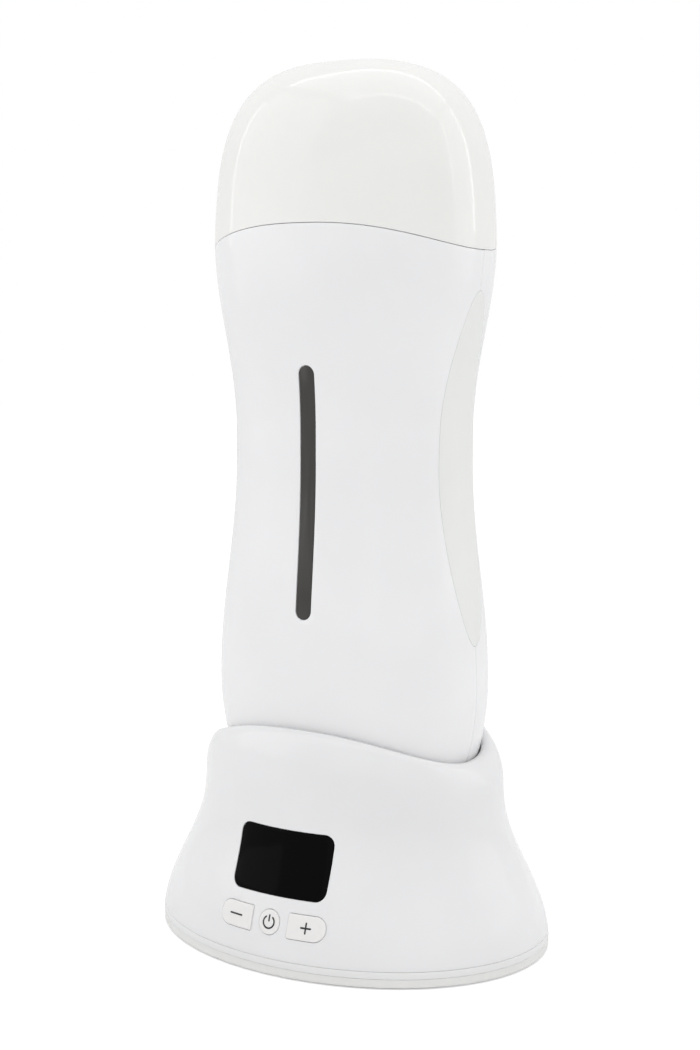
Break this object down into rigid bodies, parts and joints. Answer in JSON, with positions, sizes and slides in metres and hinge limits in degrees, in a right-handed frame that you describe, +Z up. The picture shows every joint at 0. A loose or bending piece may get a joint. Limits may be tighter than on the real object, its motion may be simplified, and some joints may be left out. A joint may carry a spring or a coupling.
{
  "type": "roll-on wax heater",
  "caption": "Waisted heated handset for a roll-on wax cartridge, with a lift-off domed cap, standing in a flared oval base that has a display, three keys and a power inlet.",
  "frame": {"origin": "centre of the footprint, on the table under the foot ring", "axes": "+Z up along the handset, the front with display and keys towards -Y, +X to the right seen from the front"},
  "size_m": [0.1122, 0.0872, 0.2333],
  "materials": {
    "base_white": "glossy moulded ABS",
    "band_white": "glossy moulded ABS",
    "plate_white": "moulded ABS, slightly warm",
    "handset_white": "satin-gloss moulded ABS, cool white",
    "cap_white": "high-gloss moulded ABS, warm white",
    "grip_grey": "satin moulded ABS, warm grey white",
    "key_white": "satin moulded ABS",
    "inner_white": "matt moulded plastic",
    "smoked_window": "smoked polycarbonate",
    "lens_black": "gloss black acrylic",
    "foot_rubber": "dark rubber",
    "inlet_black": "black moulded nylon",
    "component_black": "black moulded plastic",
    "board_green": "solder mask over glass laminate",
    "screw_steel": "zinc-plated steel",
    "contact_brass": "plated brass",
    "pin_nickel": "nickel-plated brass",
    "sleeve_aluminium": "drawn aluminium",
    "film_amber": "polyimide heating film",
    "seal_silicone": "grey silicone",
    "lead_insulation": "PVC insulation"
  },
  "bodies": {
    "base": {"base_shell": "base_white", "socket_cup": "inner_white", "base_band": "band_white", "base_plate": "plate_white", "foot_ring": "foot_rubber", "display_lens": "lens_black", "display_module": "component_black", "control_board": "board_green", "key_switches": "component_black", "control_board_screws": "screw_steel", "power_board": "board_green", "power_components": "component_black", "power_board_screws": "screw_steel", "contact_carrier": "component_black", "contact_pins": "contact_brass", "inlet_housing": "inlet_black", "inlet_pins": "pin_nickel", "inlet_leads": "lead_insulation", "flat_cable": "lead_insulation", "base_screws": "screw_steel", "socket_screws": "screw_steel"},
    "handset": {"handset_front_shell": "handset_white", "handset_rear_shell": "handset_white", "left_grip": "grip_grey", "right_grip": "grip_grey", "level_window": "smoked_window", "neck_ring": "inner_white", "neck_seal": "seal_silicone", "heater_sleeve": "sleeve_aluminium", "heating_film": "film_amber", "thermostat": "screw_steel", "thermal_fuse": "lead_insulation", "sleeve_carrier": "component_black", "bottom_plate": "inner_white", "contact_sockets": "contact_brass", "handset_leads": "lead_insulation", "handset_screws": "screw_steel"},
    "cap": {"cap": "cap_white"},
    "minus_button": {"minus_key": "key_white", "minus_plunger": "component_black"},
    "power_button": {"power_key": "key_white", "power_plunger": "component_black"},
    "plus_button": {"plus_key": "key_white", "plus_plunger": "component_black"}
  },
  "joints": [
    {"name": "handset_lift", "type": "slide", "parent": "base", "child": "handset", "axis": [0, 0, 1], "range_m": [0, 0.06]},
    {"name": "cap_lift", "type": "slide", "parent": "handset", "child": "cap", "axis": [0, 0, 1], "range_m": [0, 0.06]},
    {"name": "minus_press", "type": "slide", "parent": "base", "child": "minus_button", "axis": [0, 0.9399, -0.3416], "range_m": [0, 0.0005], "stiffness_N_per_m": 1500},
    {"name": "power_press", "type": "slide", "parent": "base", "child": "power_button", "axis": [0, 0.9399, -0.3416], "range_m": [0, 0.0005], "stiffness_N_per_m": 1500},
    {"name": "plus_press", "type": "slide", "parent": "base", "child": "plus_button", "axis": [0, 0.9399, -0.3416], "range_m": [0, 0.0005], "stiffness_N_per_m": 1500}
  ]
}
